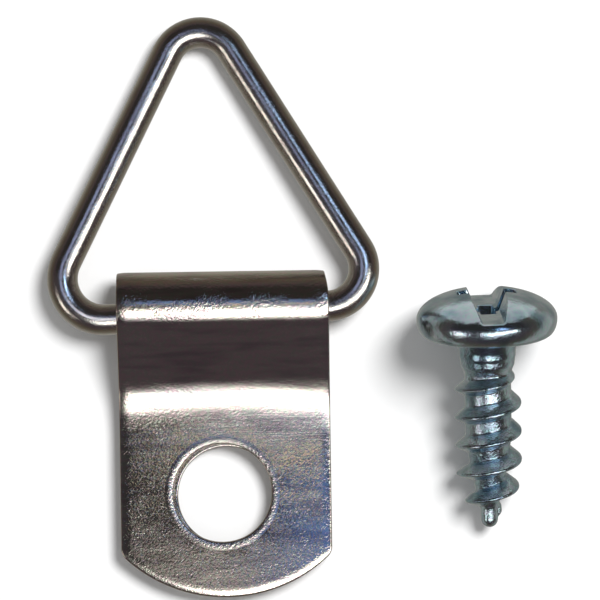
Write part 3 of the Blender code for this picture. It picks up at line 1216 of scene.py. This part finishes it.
@dataclass(frozen=True)
class Card:
    """A soft-edged card overhead, on a ceiling one unit above the object.

    The glossy metal sees it; centre, half sizes and edge are in that unit.
    """

    centre: tuple[float, float]
    half: tuple[float, float]
    turn: float
    edge: tuple[float, float]
    colour: Colour

    def share(self, graph: Graph, u: Value, v: Value) -> Value:
        """How much of the card a ceiling point shows.

        Args:
            graph: the world's nodes.
            u: the point's first coordinate.
            v: its second.

        Returns:
            1 on the card and 0 beside it.
        """
        cos, sin = math.cos(self.turn), math.sin(self.turn)
        first = (u - self.centre[0]) * cos + (v - self.centre[1]) * sin
        second = (v - self.centre[1]) * cos - (u - self.centre[0]) * sin
        sides = zip((first, second), self.half, self.edge)
        across, along = (abs(part).step(half + edge, half - edge) for part, half, edge in sides)
        return across * along


@dataclass(frozen=True)
class NearLight:
    """A panel that only one body's reflections see, with its place and size in millimetres."""

    name: str
    body: Body
    place: tuple[float, float, float]
    size: tuple[float, float]
    radiance: Colour
    towards: tuple[float, float, float] = (0, 0, 1)

    def build(self, lit: Piece) -> None:
        """Hangs the panel with its back towards the ceiling, or the side that it is given.

        Args:
            lit: the piece whose reflections show it.
        """
        light = bpy.data.lights.new(self.name, "AREA")
        light.shape = "RECTANGLE"
        light.size, light.size_y = self.size[0] * MM, self.size[1] * MM
        light.color = self.radiance
        light.energy = math.pi * light.size * light.size_y
        lamp = hang(light, Vector(self.place) * MM, Vector(self.towards))
        lamp.visible_diffuse = False
        lamp.visible_transmission = False
        receivers = bpy.data.collections.new(self.name)
        receivers.objects.link(lit)
        lamp.light_linking.receiver_collection = receivers


@dataclass
class Studio:
    """Camera, pale table, soft light, and what the metal reflects."""

    camera_height: float = 200 * MM
    camera_x: float = 3.749 * MM
    camera_y: float = 0.548 * MM
    roll: float = math.radians(-0.85)
    lens: float = 244.8
    sensor: float = 36.0
    table_size: float = 1.2
    key_azimuth: float = math.radians(40)
    key_elevation: float = math.radians(60)
    key_distance: float = 300 * MM
    key_size: float = 130 * MM
    key_power: float = 0.92
    ambient: Colour = (0.36, 0.36, 0.36)
    backdrop: Colour = (0.95, 0.95, 0.95)
    horizon: float = 0.05
    card_fade: Span = (0.0, 0.2)
    sky: tuple[tuple[float, Colour], ...] = (
        (0.0, (0.34, 0.33, 0.29)),
        (0.30, (0.15, 0.135, 0.105)),
        (0.50, (0.085, 0.068, 0.048)),
        (0.75, (0.052, 0.039, 0.044)),
        (0.92, (0.050, 0.044, 0.049)),
        (1.0, (0.030, 0.028, 0.028)),
    )
    cards: tuple[Card, ...] = (
        Card((0.1, 0.95), (1.6, 0.80), 0.0, (0.3, 0.10), (0.024, 0.021, 0.019)),
        Card((0.48, -0.56), (0.68, 0.13), math.radians(18), (0.08, 0.20), (0.8, 0.78, 0.74)),
        Card((0.48, -0.36), (0.70, 0.27), math.radians(18), (0.08, 0.06), (0.46, 0.46, 0.41)),
        Card((0.48, -0.385), (0.61, 0.20), math.radians(18), (0.06, 0.07), (3.2, 3.15, 2.95)),
        Card((0.40, 0.23), (0.12, 0.12), math.radians(30), (0.09, 0.08), (1.15, 1.65, 2.5)),
        Card((-1.55, -0.85), (0.50, 0.34), math.radians(28), (0.20, 0.12), (1.7, 1.6, 1.4)),
    )
    near_lights: tuple[NearLight, ...] = (
        NearLight("strap_barrel", Body.STRAP, (-1, 0.5, 60), (16, 10), (0.14, 0.23, 0.46)),
        NearLight("strap_right", Body.STRAP, (12, -16, 60), (18, 12), (0.08, 0.17, 0.42)),
        NearLight("strap_front", Body.STRAP, (-1, -22, 60), (12, 12), (0.44, 0.42, 0.38)),
        NearLight("strap_top", Body.STRAP, (1.5, -6.9, 60), (11, 2.4), (1.5, 1.33, 0.86)),
        NearLight("ring_sky", Body.RING, (-95, 83, 400), (116, 188), (0.26, 0.31, 0.50)),
        NearLight("ring_left", Body.RING, (-72, 36, 400), (60, 60), (0.60, 0.66, 0.80)),
        NearLight("ring_right", Body.RING, (66, -40, 400), (112, 60), (0.80, 0.85, 0.92)),
        NearLight("ring_blue", Body.RING, (128, 68, 400), (48, 48), (1.4, 2.2, 3.5)),
        NearLight("ring_base", Body.RING, (-6.9, 0, 12), (3.4, 3), (0.95, 0.95, 1.0)),
        NearLight("screw_left", Body.SCREW, (-50, -30, 60), (40, 24), (1.3, 1.25, 1.3)),
        NearLight("screw_north", Body.SCREW, (13, 65, 0), (90, 94), (0.46, 0.46, 0.43), (0, 1, 0)),
        NearLight("screw_west", Body.SCREW, (-50, -10, -21), (240, 50), (0.20, 0.21, 0.195), (-1, 0, 0)),
        NearLight("screw_east", Body.SCREW, (76, -10, -23), (240, 50), (0.18, 0.19, 0.175), (1, 0, 0)),
    )

    def world(self) -> None:
        """Builds the surroundings: even soft light for the table, and the cards for the metal."""
        world = bpy.data.worlds.new("soft_studio")
        world.use_nodes = True
        bpy.context.scene.world = world
        graph = Graph(world.node_tree)
        heading = graph.node("TexCoord").outputs["Generated"]
        x, y, z = graph.split(heading)
        height = z.most(self.horizon)
        u, v = x / height, y / height
        above = z.step(*self.card_fade)
        colour = graph.node("ValToRGB", {"Fac": z * 0.5 + 0.5}, stops=self.sky).outputs[0]
        for card in self.cards:
            colour = graph.mix(card.share(graph, u, v) * above, colour, card.colour)
        rays = graph.node("LightPath").outputs
        seen = graph.mix(Value(graph, rays["Is Camera Ray"]), self.ambient, self.backdrop)
        colour = graph.mix(Value(graph, rays["Is Glossy Ray"]), seen, colour)
        light = graph.node("Background", {"Color": colour, "Strength": 1.0})
        graph.node("OutputWorld", {"Surface": light.outputs[0]})

    def table(self) -> None:
        """Lays the pale table, which the metal doesn't mirror."""
        bm = bmesh.new()
        bmesh.ops.create_grid(bm, x_segments=1, y_segments=1, size=self.table_size / 2)
        table = add_piece("table", bm)
        table.data.materials.append(PaleTable().dress())
        table.visible_glossy = False

    def key_light(self) -> None:
        """Hangs the soft light that throws the shadows to the lower left."""
        light = bpy.data.lights.new("key", "AREA")
        light.shape = "DISK"
        light.size = self.key_size
        light.energy = self.key_power
        towards = Vector((math.cos(self.key_elevation), 0, math.sin(self.key_elevation)))
        towards.rotate(Matrix.Rotation(self.key_azimuth, 3, "Z"))
        hang(light, towards * self.key_distance, towards).visible_glossy = False

    def camera(self) -> None:
        """Sets the camera straight above, as for the photograph."""
        data = bpy.data.cameras.new("camera")
        data.sensor_width = self.sensor
        data.lens = self.lens
        data.clip_start = 1 * MM
        camera = bpy.data.objects.new("camera", data)
        camera.location = (self.camera_x, self.camera_y, self.camera_height)
        camera.rotation_euler = (0, 0, self.roll)
        bpy.context.scene.collection.objects.link(camera)
        bpy.context.scene.camera = camera

    def build(self, pieces: dict[Body, Piece]) -> None:
        """Builds the whole set.

        Args:
            pieces: the finished piece of each body.
        """
        bpy.context.scene.view_settings.view_transform = "Standard"
        self.world()
        self.table()
        self.key_light()
        for light in self.near_lights:
            light.build(pieces[light.body])
        self.camera()
        LOG.info("studio: table, lights, camera and %d cards", len(self.cards))


def main() -> None:
    """Builds the hanger's three pieces and the studio."""
    logging.basicConfig(level=logging.INFO, format="%(message)s")
    pieces = {
        Body.STRAP: FoldedStrap().build(),
        Body.RING: TriangleRing().build(),
        Body.SCREW: WoodScrew().build(),
    }
    Studio().build(pieces)


if __name__ == "__main__":
    main()
